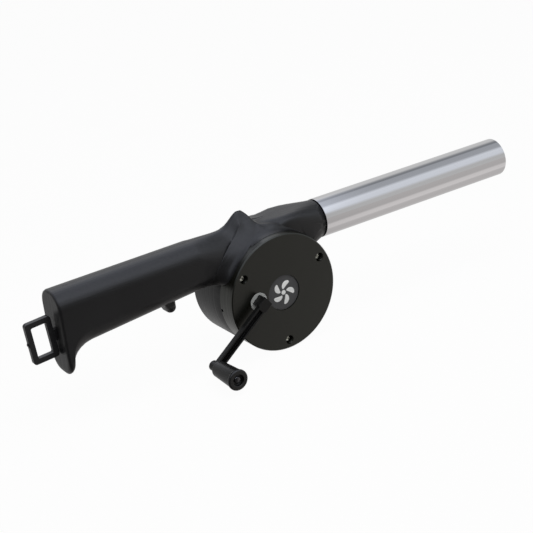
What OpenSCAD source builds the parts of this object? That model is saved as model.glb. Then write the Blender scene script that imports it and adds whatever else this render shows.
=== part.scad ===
// Hand-cranked barbecue blower: a round fan drum with a grip on one side and a steel blow pipe on the other.
// X runs from the grip to the pipe's mouth, Y from the crank face to the intake face, Z is up.
// The origin is the fan's axis at the flat intake face, which the blower can lie on.

/* [Drum] */
// Outside diameter of the fan drum
drum_d = 95; // [90:0.5:110]
// Depth of the drum from crank face to intake face
drum_depth = 58; // [56:0.5:66]
// Depth of the gear cover, measured from the crank face
cover_depth = 17.5; // [17:0.1:18.5]
// Wall of the moulded shells
wall = 2.5; // [2:0.1:2.8]
// Thickness of the cover's face
cover_face = 3; // [2.6:0.1:3.2]
// Wall between the gears and the fan
bulkhead = 2.5; // [2:0.1:2.8]
// Bevel round the drum's two rims
rim_bevel = 0.8; // [0.3:0.1:1.2]

/* [Blow pipe] */
// Outside diameter of the steel pipe
pipe_d = 32; // [30:0.5:33]
// Wall of the steel pipe
pipe_wall = 0.6; // [0.5:0.1:1]
// Height of the pipe's axis over the fan's axis
pipe_rise = 38.1; // [36.1:0.5:40.1]
// From the fan's axis to the pipe's mouth
pipe_reach = 245; // [160:1:320]
// From the fan's axis to the end of the moulded snout
snout_reach = 54.3; // [52:0.1:58]
// Length of the spigot that the pipe slips over
spigot_len = 24; // [15:1:35]
// Open groove between the snout's lip and the pipe
pipe_groove = 1.3; // [1:0.1:2]
// Half width of the snout beside the drum
snout_half_w = 17; // [16.6:0.1:17.5]

/* [Grip] */
// From the fan's axis to the flat end of the grip
grip_reach = 179.5; // [165:0.5:200]
// Width of the grip
grip_w = 31; // [28:0.5:33]
// Height of the grip's top line at its end
grip_top_end = 52.7; // [51:0.1:54]
// Height of the grip's top line at the drum
grip_top_root = 54.2; // [53:0.1:56]
// Height of the grip's underside near the pommel
grip_under_end = 5.4; // [3:0.1:8]
// Height of the grip's underside at the drum
grip_under_root = 15.8; // [13:0.1:18]
// Rounding along the grip's long edges
grip_round = 13; // [10:0.5:14]
// Rounding round the flat end
end_round = 2; // [1:0.1:3]

/* [Pommel and finger stop] */
// Height of the pommel's lowest point
pommel_low = -13.2; // [-16:0.1:-9]
// Thickness of the pommel's tip along the grip
pommel_tip = 5.6; // [5:0.1:9]
// Length of the hollow curve in front of the pommel
pommel_sweep = 18; // [12:0.5:24]
// From the fan's axis to the finger stop
stop_reach = 86; // [80:0.5:95]
// Radius of the finger stop
stop_r = 4.4; // [3.5:0.1:5]
// Width of the finger stop
stop_w = 14; // [10:0.5:18]

/* [Guard] */
// Height of the guard's peak
guard_peak = 65.4; // [62:0.1:68]
// From the fan's axis to the grip side of the peak
guard_reach = 17.6; // [16:0.1:20]
// Length of the flat on the peak
guard_flat = 4.6; // [4:0.1:6]
// Half width of the guard low down
guard_half_w = 16.5; // [16:0.1:17]
// Half width of the cradle where it runs out on the drum
cradle_half_w = 24; // [22:0.1:25]
// Height of the cradle's crest over the drum
cradle_rise = 11.5; // [11:0.1:12]

/* [Hang loop] */
// Thickness of the loop's bars
loop_bar = 4.2; // [3:0.1:4.5]
// Length of the loop's window along the grip
loop_window_l = 12.2; // [9:0.1:15]
// Height of the loop's window
loop_window_h = 24.4; // [18:0.1:26]
// Height of the loop's middle
loop_mid = 18.9; // [16:0.1:20]
// Lean of the loop in its slot, in degrees
loop_lean = 4; // [0:0.5:4.5]

/* [Crank] */
// Place of the crank's axis, as a share of the drum's inner radius
crank_share = 0.52; // [0.512:0.001:0.533]
// From the crank's axis to the knob's axis
crank_len = 60; // [55:0.5:70]
// Angle at which the crank stands, in degrees
crank_angle = 216.8; // [0:0.1:359]
// Radius of the hub that shows in the cover
hub_r = 7.4; // [7:0.1:7.7]
// Side of the square peg on the hub
peg_side = 5.4; // [5:0.1:5.8]
// Side of the square head on the arm
head_side = 8.6; // [8.2:0.1:9.5]
// Width of the channel arm
arm_w = 6.8; // [6:0.1:7.5]
// Thickness of the channel arm
arm_t = 4.2; // [3.5:0.1:5]
// Gap between the cover and the arm
arm_standoff = 5.2; // [4.5:0.1:6]
// Wall of the channel
arm_wall = 1.4; // [1.1:0.1:1.8]

/* [Knob] */
// Length of the knob
knob_len = 28.5; // [24:0.5:34]
// Radius of the knob beside the arm
knob_root_r = 6.5; // [6:0.1:7.5]
// Radius of the knob's lip
knob_lip_r = 8.3; // [7.8:0.1:9.5]
// Radius of the knob's pin
knob_pin_r = 2; // [1.8:0.1:2.5]

/* [Gears] */
// Gap between the crank's gear and the drum's wall, which sets the size of the teeth
gear_wall_gap = 2.4; // [2:0.1:2.9]
// Pressure angle, in degrees
pressure_angle = 25; // [24:0.5:26]
// Teeth on the crank's gear
crank_teeth = 46; // [45:1:46]
// Teeth on the large half of the idler
idler_teeth = 40; // [39:1:40]
// Teeth on each pinion
pinion_teeth = 12; // [12:1:12]
// Play between meshing teeth, at the pitch circle
backlash = 0.16; // [0.12:0.01:0.2]
// Face width of each gear
gear_w = 4.6; // [4:0.1:4.8]

/* [Fan] */
// Gap between the impeller's rim and the screw bosses
fan_boss_gap = 0.9; // [0.5:0.1:4]
// Gap between the impeller and the intake wall
fan_intake_gap = 7.8; // [6.8:0.1:14]
// Number of blades
blade_count = 10; // [6:1:12]
// Thickness of a blade
blade_t = 1.6; // [1.2:0.1:2]
// Radius of the fan's shaft
shaft_r = 2.5; // [2.2:0.1:2.7]

/* [Intake] */
// Radius of the intake's outermost slot
intake_r = 25; // [22:0.5:27]
// Width of a slot
slot_w = 3.4; // [2.5:0.1:3.6]
// Rings of slots
slot_rings = 3; // [2:1:3]
// Ribs across the slots
slot_ribs = 8; // [6:1:10]
// Width of a rib
rib_w = 2; // [1.6:0.1:2.6]

/* [Screws and badge] */
// Circle that the cover screws stand on, as a share of the drum's radius
cover_screw_share = 0.853; // [0.842:0.001:0.863]
// Radius of the sunk hole over a cover screw
cover_sink_r = 3.6; // [3.4:0.1:3.7]
// Depth from the cover's face to the seat of a cover screw
cover_sink_depth = 6; // [5:0.1:8]
// Radius of a screw's head
screw_head_r = 3.1; // [2.8:0.1:3.2]
// Height of a screw's head
screw_head_h = 2.2; // [1.8:0.1:2.4]
// Radius of a screw's shank
screw_r = 1.5; // [1.3:0.1:1.6]
// Gap between the round badge and the crank's hub
badge_gap = 1.8; // [1.5:0.1:4]
// Depth of the badge's recess
badge_sink = 1.6; // [1.2:0.1:1.7]
// Thickness of the badge
badge_t = 0.8; // [0.6:0.1:1]

/* [Hidden] */
$fn = 96;
black = [0.09, 0.09, 0.1];
steel = [0.78, 0.79, 0.81];

// Clearances and one overrun that serves every cut
seat_gap = 0.02;
run_gap = 0.05;
free_gap = 0.3;
cut = 5;

// The drum and its walls
drum_r = drum_d / 2;
bore_r = drum_r - wall;
mid = -drum_depth / 2;
face_y = -drum_depth;
cover_end = face_y + cover_depth;
chamber_y = cover_end + bulkhead;
back_inner = -wall;
cover_trim_r = drum_r + free_gap / 2;
duct_guard_r = drum_r + wall;
lip_h = 2;
lip_t = 1.4;
small_fn = 32;

// The pipe and the duct
pipe_r = pipe_d / 2;
pipe_bore_r = pipe_r - pipe_wall;
spigot_r = pipe_bore_r - seat_gap;
spigot_wall = 1.6;
duct_r = spigot_r - spigot_wall;
duct_start = 8;
snout_lip_under = 0.5;
snout_lip_r = pipe_r - snout_lip_under;
neck_sink = 1;
neck_r = spigot_r - neck_sink;
neck_l = 1;
snout_lip_l = 1.4;
pipe_start = snout_reach + pipe_groove;
spigot_end = pipe_start + spigot_len;

// Snout sections: place, top and bottom as shares, then half width, corner height and lower rounding
snout_back = 8;
snout_low_root = 2;
snout_low_end = pipe_rise - snout_lip_r;
snout_top_root = 54.2;
snout_top_end = pipe_rise + snout_lip_r;
snout_place_share = [0, 0.15, 0.3, 0.45, 0.6, 0.72, 0.82, 0.91, 1];
snout_top_share = [0, 0, 0, 0, 0, 0.04, 0.16, 0.5, 1];
snout_round_share = [0.8, 0.66, 0.48, 0.42, 0.52, 0.66, 0.8, 0.91, 0.97];

// The grip
half_w = grip_w / 2;
grip_root = 60;
sweep_start = grip_reach - pommel_tip;
tip_round = 4;
tip_share = [0.3, 0.5, 0.7, 0.88];
sweep_share = [0, 0.04, 0.12, 0.25, 0.42, 0.68, 1];
straight_share = [0.35, 0.7];
guard_start = 62;
guard_foot = 55;
guard_bend = 17;
guard_share = [0, 0.16, 0.32, 0.46, 0.58, 0.68, 0.76, 0.83, 0.89, 0.94, 0.98, 1];
slope_share = [0, 0.14, 0.28, 0.42, 0.56, 0.7, 0.82, 0.91, 0.97, 1];
slope_edge = 0.8;
slope_end_sunk = 8;
slope_flat = 14;
slope_point = 2;
slope_step = 1.3;
guard_corner = 33;
slope_corner = 10;
guard_point = 2.7;
guard_rise = 7;
crest_flat = 1.4;
arc_steps = 7;
cradle_angles = [114, 108, 102, 96, 91, 86, 81, 74, 66, 58, 52];
cradle_rise_share = [0.2, 0.42, 0.54, 0.57, 0.51, 0.47, 0.42, 0.27, 0.16, 0.1, 0.07];
cradle_crest_share = [0.4, 0.42, 0.5, 0.61, 0.85, 0.95, 1, 1.02, 1.02, 1.02, 1.02];
cradle_foot_share = [0.96, 0.97, 0.98, 0.98, 0.97, 0.93, 0.85, 0.65, 0.4, 0.2, 0.05];
cradle_root = 3.5;
cradle_lean = 1.5;
cradle_edge = 0.6;
cavity_end = 52;

// The loop and its seat
loop_gap = 1.3;
stop_ramp = 7;
loop_round = 2.4;
loop_window_round = 1.1;
nub_r = 2.2;
nub_out = 0.9;
anchor_gap = 0.9;
loop_h = loop_window_h + 2 * loop_bar;
tongue_h = 9;
anchor_h = 17;
anchor_t = 3;

// The crank and the knob
crank_offset = bore_r * crank_share;
crank_x = -crank_offset;
badge_r = crank_offset - hub_r - badge_gap;
head_out = arm_standoff + arm_t;
head_gap = free_gap;
peg_out = 6.4;
boss_r = 4.1;
boss_in = 3.2;
knob_gap = free_gap;
knob_start = head_out + knob_gap;
knob_recess_r = 4.6;
knob_recess = 3;
knob_lip_l = 2.2;
knob_body_r = 7.7;
pin_head_r = 2.8;
pin_head_h = 1.8;
pin_sink = 6;

// Gears, seen from the crank side
boss_step = 1.2;
gear_gap = 1.5;
gear_y = face_y + cover_face + gear_gap;
gear2_y = gear_y + gear_w + gear_gap;
gear_module = (bore_r - crank_offset - gear_wall_gap) / (crank_teeth / 2 + 1);
gear_add = gear_module;
gear_ded = 1.25 * gear_module;
crank_pitch = gear_module * crank_teeth / 2;
idler_pitch = gear_module * idler_teeth / 2;
pinion_pitch = gear_module * pinion_teeth / 2;
first_span = crank_pitch + pinion_pitch;
second_span = idler_pitch + pinion_pitch;
idler_x = (second_span * second_span - first_span * first_span + crank_offset * crank_offset)
    / (2 * crank_offset) * -1;
idler_z = sqrt(second_span * second_span - idler_x * idler_x);
axle_r = 2;
crank_axle_r = 2.5;
axle_boss_r = 4.6;
axle_cap = 0.8;
axle_end = chamber_y - axle_cap;
rear_hub_r = 4.8;
web_sink = 1.2;
flank_steps = 5;

// Fan, bushes and washers
bush_r = 4.5;
flange_r = 6;
flange_t = 1.4;
bush_out = 1.3;
bush_front = cover_end - bush_out;
bush_back = chamber_y + flange_t;
washer_t = 0.7;
washer_r = 5;
fan_y = bush_back + washer_t + 2 * free_gap;
fan_w = back_inner - fan_intake_gap - fan_y;
fan_disc_t = 2;
fan_hub_r = 7;
fan_hub_l = 15;
fan_ring_t = 1.5;
fan_ring_w = 5.5;
blade_in_r = 15;
blade_curve_r = 20;
blade_centre_r = 24;
rear_bush_l = 6;
rear_cap = 1.5;
rear_bush_y = -rear_cap - rear_bush_l;
rear_post_r = 8;
ring_t = 0.8;
ring_r = 5;
shaft_stop = 0.5;
shaft_end = -rear_cap - shaft_stop;
pinion_over = 0.4;
pinion_end = gear2_y + gear_w + pinion_over;
shaft_front = gear2_y - free_gap;

// Screws
cover_screw_angles = [147, 27, 270];
cover_screw_circle = drum_r * cover_screw_share;
post_r = 4.2;
pilot_gap = 0.05;
hole_gap = 0.25;
pilot_over = 0.5;
cover_screw_l = 17;
cover_boss_r = 4.6;
fan_r = cover_screw_circle - cover_boss_r - fan_boss_gap;
cover_pilot_end = face_y + cover_sink_depth + cover_screw_l + pilot_over;
cover_boss_end = cover_pilot_end + wall;
shell_boss_r = 4.4;
shell_screw_share = 0.884;
shell_screw_circle = drum_r * shell_screw_share;
shell_screw_angles = [124, 208, 292, 348];
shell_sink_r = 3.1;
shell_head_r = 2.7;
shell_head_h = 1.8;
shell_screw_r = 1.3;
drum_screw_l = 27;
drum_seat = -9;
drum_pilot_end = drum_seat - drum_screw_l - pilot_over;
grip_screw_l = 16;
grip_sink = 7;
grip_seat = mid + half_w - grip_sink;
grip_pilot_end = grip_seat - grip_screw_l - pilot_over;
grip_screw_reach = [150, 76];
grip_screw_z = 31;
grip_boss_r = 4.2;

function lerp(a, b, t) = a + (b - a) * t;
function grip_t(reach) = (reach - grip_root) / (grip_reach - grip_root);
function top_at(reach) = lerp(grip_top_root, grip_top_end, grip_t(reach));
function under_at(reach) = lerp(grip_under_root, grip_under_end, grip_t(reach));

// Underside of the grip with the pommel: a round tip, then a quarter ellipse, then the straight line
function tip_z(u) = let (c = pommel_tip / 2)
    pommel_low + tip_round * (1 - sqrt(max(0, 1 - pow((u - c) / c, 2))));
function sweep_z(t) = let (line = under_at(sweep_start - pommel_sweep * t), low = pommel_low + tip_round)
    line - (line - low) * (1 - sqrt(1 - pow(1 - t, 2)));

// A station is [top x, top z, bottom x, bottom z, half width, flat on top, corner height, point, lower rounding],
// and a leaning one ends with its bend
function upright(reach, low, inset) = [
    -reach, top_at(reach) - inset, -reach, low + inset, half_w - inset,
    half_w - grip_round, grip_round - inset, 1, grip_round - inset
];
end_stations = [for (a = [0, 45, 90])
    let (u = end_round * (1 - cos(a)))
    upright(grip_reach - u, tip_z(u), end_round * (1 - sin(a)))];
tip_stations = [for (s = tip_share)
    let (u = lerp(end_round, pommel_tip, s)) upright(grip_reach - u, tip_z(u), 0)];
sweep_stations = [for (s = sweep_share) upright(sweep_start - pommel_sweep * s, sweep_z(s), 0)];
straight_end = sweep_start - pommel_sweep;
straight_stations = [for (s = straight_share)
    let (r = lerp(straight_end, guard_start, s)) upright(r, under_at(r), 0)];
guard_stations = [for (s = guard_share)
    let (top = lerp(guard_start, guard_reach, s), low = lerp(guard_start, guard_foot, s))
    [
        -top, top_at(top) + (guard_peak - top_at(guard_reach)) * pow(s, guard_rise), -low, under_at(low),
        lerp(half_w, guard_half_w, s), lerp(half_w - grip_round, crest_flat, s),
        lerp(grip_round, guard_corner, s), lerp(1, guard_point, s * s), grip_round, guard_bend
    ]];
crest_end = guard_reach - guard_flat;
under_root = under_at(grip_root);
slope_end_r = drum_r + slope_edge;
function foot_at(r) = sqrt(r * r - under_root * under_root);
slope_stations = [for (s = slope_share)
    [
        -lerp(crest_end, 0, s), lerp(guard_peak, slope_end_r, s),
        -lerp(guard_foot - slope_step, foot_at(slope_end_r), s), under_root,
        cradle_half_w - (cradle_half_w - guard_half_w) * sqrt(1 - s * s),
        lerp(crest_flat, slope_flat, s), lerp(guard_corner, slope_corner, s),
        lerp(guard_point, slope_point, s), grip_round, lerp(guard_bend, 0, s)
    ]];
last_r = drum_r - slope_end_sunk;
last_station = [
    0, last_r, -foot_at(last_r), under_root, cradle_half_w, slope_flat, slope_corner, slope_point, grip_round, 0
];
grip_stations = concat(end_stations, tip_stations, sweep_stations, straight_stations, guard_stations,
    slope_stations, [last_station]);

// Hollow of the grip: the upright stations drawn in by the wall, from inside the flat end to the guard
function inner(st, x) = [
    x, st[1] - wall, x, st[3] + wall, st[4] - wall, st[5], st[6] - wall, 1, st[8] - wall
];
cavity_stations = concat(
    [for (r = [grip_reach - wall, sweep_start])
        inner(upright(r, max(tip_z(grip_reach - r), pommel_low), 0), -r)],
    [for (s = sweep_share) if (s > 0) inner(upright(sweep_start - pommel_sweep * s, sweep_z(s), 0),
        -(sweep_start - pommel_sweep * s))],
    [for (r = [lerp(straight_end, guard_start, 0.5), cavity_end])
        inner(upright(r, under_at(r), 0), -r)]
);

// Snout stations, from inside the drum to its round lip
snout_stations = [for (i = [0 : len(snout_place_share) - 1])
    let (x = lerp(-snout_back, snout_reach, snout_place_share[i]),
        w = lerp(snout_half_w, snout_lip_r, pow(snout_place_share[i], 4)),
        r = w * snout_round_share[i])
    [
        x, lerp(snout_top_root, snout_top_end, snout_top_share[i]),
        x, lerp(snout_low_root, snout_low_end, snout_place_share[i]), w, w - r, r, 1, r
    ]];

// One side of a cross-section, from the top's middle round to the bottom's middle, as [y, z]
function half_section(st, over) = concat(
    [[over, st[1]]],
    [for (i = [0 : arc_steps]) let (a = 90 * i / arc_steps)
        [-(st[5] + (st[4] - st[5]) * pow(sin(a), st[7])), st[1] - st[6] * (1 - cos(a))]],
    [for (i = [0 : arc_steps]) let (a = 90 * i / arc_steps)
        [-(st[4] - st[8] * (1 - cos(a))), st[3] + st[8] * (1 - sin(a))]],
    [[over, st[3]]]
);

// A leaning station bends round the drum: upright near its top, then ever further towards the grip
function bend_sq(st) = pow(st[3], 2) + pow(st[0] - st[2] + st[9], 2) - pow(st[9], 2);
function bent_x(st, z) = st[0] + st[9] - sqrt(pow(st[9], 2) + max(0, bend_sq(st) - z * z));
function place_section(st, over) = [for (p = half_section(st, over))
    [st[0] == st[2] ? st[0] : bent_x(st, p[1]), p[0], p[1]]];

// Cradle round the drum: its section sweeps in from the crest and runs out on the drum's wall
function cradle_ring(i, over) = let (a = cradle_angles[i], rise = cradle_rise * cradle_rise_share[i],
        w = guard_half_w * cradle_crest_share[i], foot = lerp(w, cradle_half_w, cradle_foot_share[i]),
        outer = concat([[drum_r + rise, over]], [for (k = [arc_steps : -1 : 0]) let (b = 90 * k / arc_steps)
            [drum_r + lerp(cradle_edge, max(rise, cradle_edge), 1 - cos(b)), lerp(foot, w, sin(b)) * -1]]),
        n = len(outer),
        inner_row = [for (k = [n - 1 : -1 : 0]) [drum_r - cradle_root, outer[k][1]]])
    concat([for (p = outer) [p[0] * cos(a), p[1], p[0] * sin(a)]],
        [for (p = inner_row) [p[0] * cos(a + cradle_lean), p[1], p[0] * sin(a + cradle_lean)]]);

// Skin over a row of stations that runs past the parting plane, where the shell is cut off flat
module half_loft(stations, over) {
    skin([for (st = stations) place_section(st, over)]);
}
module skin(rings) {
    m = len(rings[0]);
    n = len(rings);
    sides = [for (j = [0 : n - 2], i = [0 : m - 2])
        let (a = j * m + i, b = a + 1, c = b + m, d = a + m)
        each [[a, d, c], [a, c, b]]];
    flat = [for (j = [0 : n - 2]) let (a = j * m, b = a + m, c = b + m - 1, d = a + m - 1)
        each [[a, d, c], [a, c, b]]];
    e = (n - 1) * m;
    caps = [for (i = [0 : m / 2 - 2]) let (j = m - 1 - i)
        each [[i, i + 1, j - 1], [i, j - 1, j], [e + i, e + j - 1, e + i + 1], [e + i, e + j, e + j - 1]]];
    polyhedron(points = [for (r = rings) each r], faces = concat(sides, caps, flat));
}

// Slab between two depths, drawn in X and Z
module slab(y0, y1) {
    translate([0, y1, 0]) rotate([90, 0, 0]) linear_extrude(y1 - y0) children();
}
module disc(r, y0, y1, x = 0, z = 0) {
    translate([x, y1, z]) rotate([90, 0, 0]) cylinder(r = r, h = y1 - y0);
}
module polar_disc(r, y0, y1, circle_r, angle) {
    disc(r, y0, y1, circle_r * cos(angle), circle_r * sin(angle));
}
module rod_x(r, x0, x1, z) {
    translate([x0, mid, z]) rotate([0, 90, 0]) cylinder(r = r, h = x1 - x0);
}
module near_side() {
    translate([-grip_reach - cut, mid - drum_d, -drum_d])
        cube([grip_reach + pipe_reach + 2 * cut, drum_d, 2 * drum_d]);
}
module mirror_side() {
    translate([0, mid, 0]) mirror([0, 1, 0]) translate([0, -mid, 0]) children();
}

// Half of the outer body beside the drum, without the drum itself
module grip_and_snout() {
    translate([0, mid, 0]) {
        half_loft(grip_stations, cut);
        half_loft(snout_stations, cut);
        skin([for (i = [0 : len(cradle_angles) - 1]) cradle_ring(i, 1.4 * cut)]);
        finger_stop();
    }
    rod_x(snout_lip_r, snout_reach - snout_lip_l, snout_reach, pipe_rise);
    rod_x(neck_r, snout_reach - snout_lip_l, pipe_start + 2 * neck_l, pipe_rise);
    rod_x(spigot_r, pipe_start + neck_l, spigot_end, pipe_rise);
}
module hollow_body() {
    difference() {
        grip_and_snout();
        translate([0, mid, 0]) half_loft(cavity_stations, 2 * cut);
    }
}
module finger_stop() {
    low = under_at(stop_reach) - stop_r;
    hull() {
        for (side = [-1, 1]) translate([-stop_reach, side * (stop_w / 2 - stop_r), low])
            sphere(r = stop_r, $fn = small_fn);
        translate([-stop_reach - stop_ramp, -stop_w / 2, under_at(stop_reach + stop_ramp) + stop_r / 2])
            cube([stop_ramp + stop_r * 0.6, stop_w, stop_r / 2]);
    }
}
module duct() {
    difference() {
        rod_x(duct_r, duct_start, spigot_end + cut, pipe_rise);
        disc(duct_guard_r, face_y - cut, chamber_y);
    }
}
module chamber() {
    disc(bore_r, chamber_y, back_inner);
}

// Half of the loop's slot through the grip's flat end
module loop_slot() {
    leaned() translate([-grip_reach - cut, mid - loop_bar / 2 - seat_gap, -tongue_h / 2 - seat_gap])
        cube([2 * cut + wall, loop_bar + 2 * seat_gap, tongue_h + 2 * seat_gap]);
}
module leaned() {
    translate([-grip_reach, 0, loop_mid]) rotate([0, -loop_lean, 0]) translate([grip_reach, 0, 0]) children();
}

module near_shell() color(black) difference() {
    union() {
        difference() {
            intersection() {
                near_side();
                hollow_body();
            }
            disc(cover_trim_r, face_y - cut, cover_end);
        }
        disc(drum_r, cover_end, mid);
        for (x = grip_screw_reach) disc(grip_boss_r, mid - half_w + wall / 2, mid, -x, grip_screw_z);
        difference() {
            disc(bore_r - run_gap, cover_end - lip_h, cover_end);
            disc(bore_r - lip_t, cover_end - lip_h - cut, cover_end + cut);
            for (a = cover_screw_angles)
                polar_disc(post_r + free_gap, cover_end - lip_h - cut, cover_end, cover_screw_circle, a);
        }
        disc(axle_boss_r, cover_end - boss_step, cover_end, idler_x, idler_z);
        disc(axle_boss_r, cover_end - boss_step, cover_end, crank_x, 0);
    }
    difference() {
        chamber();
        for (a = cover_screw_angles)
            polar_disc(cover_boss_r, chamber_y - cut, cover_boss_end, cover_screw_circle, a);
        for (a = shell_screw_angles) polar_disc(shell_boss_r, chamber_y - cut, mid, shell_screw_circle, a);
    }
    duct();
    disc(bush_r + seat_gap, cover_end - cut, chamber_y + cut);
    disc(axle_r + seat_gap, cover_end - cut, axle_end, idler_x, idler_z);
    disc(crank_axle_r + seat_gap, cover_end - cut, axle_end, crank_x, 0);
    for (a = cover_screw_angles)
        polar_disc(screw_r + pilot_gap, cover_end - cut, cover_pilot_end, cover_screw_circle, a);
    for (a = shell_screw_angles)
        polar_disc(shell_screw_r + pilot_gap, drum_pilot_end, mid + cut, shell_screw_circle, a);
    for (x = grip_screw_reach) disc(shell_screw_r + pilot_gap, grip_pilot_end, mid + cut, -x, grip_screw_z);
    loop_slot();
}

module far_shell() color(black) difference() {
    union() {
        mirror_side() intersection() {
            near_side();
            hollow_body();
        }
        disc(drum_r, mid, -rim_bevel);
        translate([0, -rim_bevel, 0]) rotate([-90, 0, 0])
            cylinder(r1 = drum_r, r2 = drum_r - rim_bevel, h = rim_bevel);
        for (x = grip_screw_reach) disc(grip_boss_r, mid, mid + half_w - wall / 2, -x, grip_screw_z);
    }
    difference() {
        chamber();
        disc(rear_post_r, rear_bush_y, 0);
        for (a = shell_screw_angles) polar_disc(shell_boss_r, mid, cut, shell_screw_circle, a);
    }
    duct();
    disc(bush_r + seat_gap, rear_bush_y - cut, rear_bush_y + rear_bush_l);
    intake_slots();
    for (a = shell_screw_angles) {
        polar_disc(shell_screw_r + hole_gap, mid - cut, cut, shell_screw_circle, a);
        polar_disc(shell_sink_r, drum_seat, cut, shell_screw_circle, a);
    }
    for (x = grip_screw_reach) {
        disc(shell_screw_r + hole_gap, mid - cut, cut, -x, grip_screw_z);
        disc(shell_sink_r, grip_seat, cut, -x, grip_screw_z);
    }
    loop_slot();
}

// Rings of slots between radial ribs
module intake_slots() {
    pitch = slot_w + rib_w * 0.8;
    difference() {
        for (i = [0 : slot_rings - 1]) difference() {
            disc(intake_r - i * pitch, back_inner - cut, cut);
            disc(intake_r - i * pitch - slot_w, back_inner - 2 * cut, 2 * cut);
        }
        for (i = [0 : slot_ribs - 1]) rotate([0, 360 * i / slot_ribs, 0])
            translate([0, back_inner - 2 * cut, -rib_w / 2])
                cube([intake_r + cut, wall + 4 * cut, rib_w]);
    }
}

module gear_cover() color([0.16, 0.16, 0.15]) difference() {
    union() {
        difference() {
            union() {
                disc(drum_r, face_y + rim_bevel, cover_end);
                translate([0, face_y, 0]) rotate([-90, 0, 0])
                    cylinder(r1 = drum_r - rim_bevel, r2 = drum_r, h = rim_bevel);
            }
            disc(bore_r, face_y + cover_face, cover_end + cut);
        }
        for (a = cover_screw_angles)
            polar_disc(post_r, face_y + rim_bevel, cover_end, cover_screw_circle, a);
        disc(hub_r + wall, face_y + rim_bevel, face_y + cover_face + boss_step, crank_x, 0);
        disc(axle_boss_r, face_y + rim_bevel, face_y + cover_face + boss_step, idler_x, idler_z);
    }
    disc(badge_r + free_gap / 2, face_y - cut, face_y + badge_sink);
    disc(hub_r + run_gap, face_y - cut, gear_y, crank_x, 0);
    disc(axle_r + seat_gap, face_y + cover_face / 2, cover_end, idler_x, idler_z);
    for (a = cover_screw_angles) {
        polar_disc(cover_sink_r, face_y - cut, face_y + cover_sink_depth, cover_screw_circle, a);
        polar_disc(screw_r + hole_gap, face_y, cover_end + cut, cover_screw_circle, a);
    }
}

module badge_disc() color([0.27, 0.27, 0.27])
    disc(badge_r, face_y + badge_sink - badge_t, face_y + badge_sink);

// A pan-head screw along +Y, seated at depth y
module screw(y, x, z, head_r, head_h, r, l) {
    difference() {
        union() {
            disc(head_r, y - head_h * 0.6, y, x, z);
            translate([x, y - head_h * 0.6, z]) rotate([90, 0, 0])
                cylinder(r1 = head_r, r2 = head_r * 0.7, h = head_h * 0.4);
            disc(r, y - head_h * 0.6, y + l, x, z);
        }
        for (turn = [0, 90]) translate([x, y, z]) rotate([0, turn, 0])
            translate([-head_r * 0.6, -head_h - cut, -head_r * 0.13])
                cube([head_r * 1.2, cut + head_h * 0.5, head_r * 0.26]);
    }
}
module cover_screws() color([0.76, 0.76, 0.72])
    for (a = cover_screw_angles)
        screw(face_y + cover_sink_depth, cover_screw_circle * cos(a), cover_screw_circle * sin(a),
            screw_head_r, screw_head_h, screw_r, cover_screw_l);

// The shell screws come from the intake side, so they are turned to face it
module shell_screws() color([0.76, 0.76, 0.72]) {
    for (a = shell_screw_angles)
        translate([shell_screw_circle * cos(a), drum_seat, shell_screw_circle * sin(a)])
            mirror([0, 1, 0]) screw(0, 0, 0, shell_head_r, shell_head_h, shell_screw_r, drum_screw_l);
    for (x = grip_screw_reach) translate([-x, grip_seat, grip_screw_z])
        mirror([0, 1, 0]) screw(0, 0, 0, shell_head_r, shell_head_h, shell_screw_r, grip_screw_l);
}

module blow_pipe() color(steel) difference() {
    rod_x(pipe_r, pipe_start, pipe_reach, pipe_rise);
    rod_x(pipe_bore_r, pipe_start - cut, pipe_reach + cut, pipe_rise);
}

// Upright block with its four corners rounded, from x on along the grip
module rounded_block(x, l, h, t, r) {
    translate([x + r, mid - t / 2, -h / 2]) cube([l - 2 * r, t, h]);
    translate([x, mid - t / 2, r - h / 2]) cube([l, t, h - 2 * r]);
    for (i = [x + r, x + l - r], z = [r - h / 2, h / 2 - r]) disc(r, mid - t / 2, mid + t / 2, i, z);
}

// Rectangular loop with a small nub, a tongue through the slot and a cross bar that traps it inside
module hang_loop() color(black) leaned() {
    out = loop_window_l + 2 * loop_bar;
    start = -grip_reach - out - loop_gap;
    difference() {
        union() {
            rounded_block(start, out, loop_h, loop_bar, loop_round);
            disc(nub_r, mid - loop_bar / 4, mid + loop_bar / 4, start + nub_r - nub_out);
        }
        rounded_block(start + loop_bar, loop_window_l, loop_window_h, 2 * loop_bar, loop_window_round);
    }
    translate([-grip_reach - loop_gap - loop_bar / 2, mid - loop_bar / 2, -tongue_h / 2])
        cube([loop_bar / 2 + loop_gap + wall + anchor_gap + anchor_t, loop_bar, tongue_h]);
    translate([-grip_reach + wall + anchor_gap, mid - loop_bar / 2, -anchor_h / 2])
        cube([anchor_t, loop_bar, anchor_h]);
}

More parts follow.
